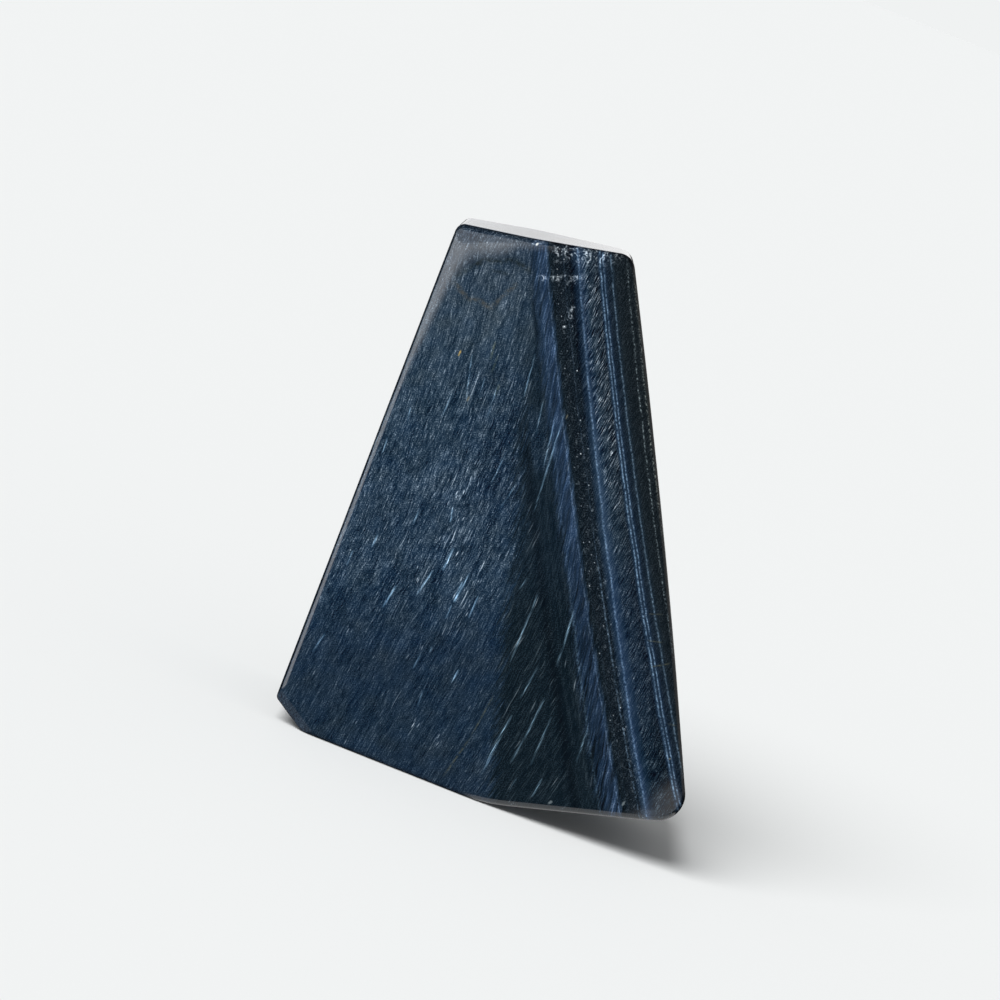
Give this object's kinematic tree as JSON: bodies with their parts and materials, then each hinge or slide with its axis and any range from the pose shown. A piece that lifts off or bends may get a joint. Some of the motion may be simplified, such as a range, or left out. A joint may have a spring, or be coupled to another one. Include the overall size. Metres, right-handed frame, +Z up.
{
  "type": "tiger eye freeform",
  "caption": "Polished blue tiger eye freeform: a tapering slab with flat sawn sides and softened edges, banded in dark blue and black, standing on its flat base.",
  "frame": {"origin": "centre of the bounding box at the level of the flat base", "axes": "+Z up along the height, +X to the right across the front face, +Y to the back through the thickness"},
  "size_m": [0.0592, 0.0256, 0.0775],
  "materials": {
    "blue_tiger_eye": "polished"
  },
  "bodies": {
    "root": {"tiger_eye_stone": "blue_tiger_eye"}
  },
  "joints": []
}
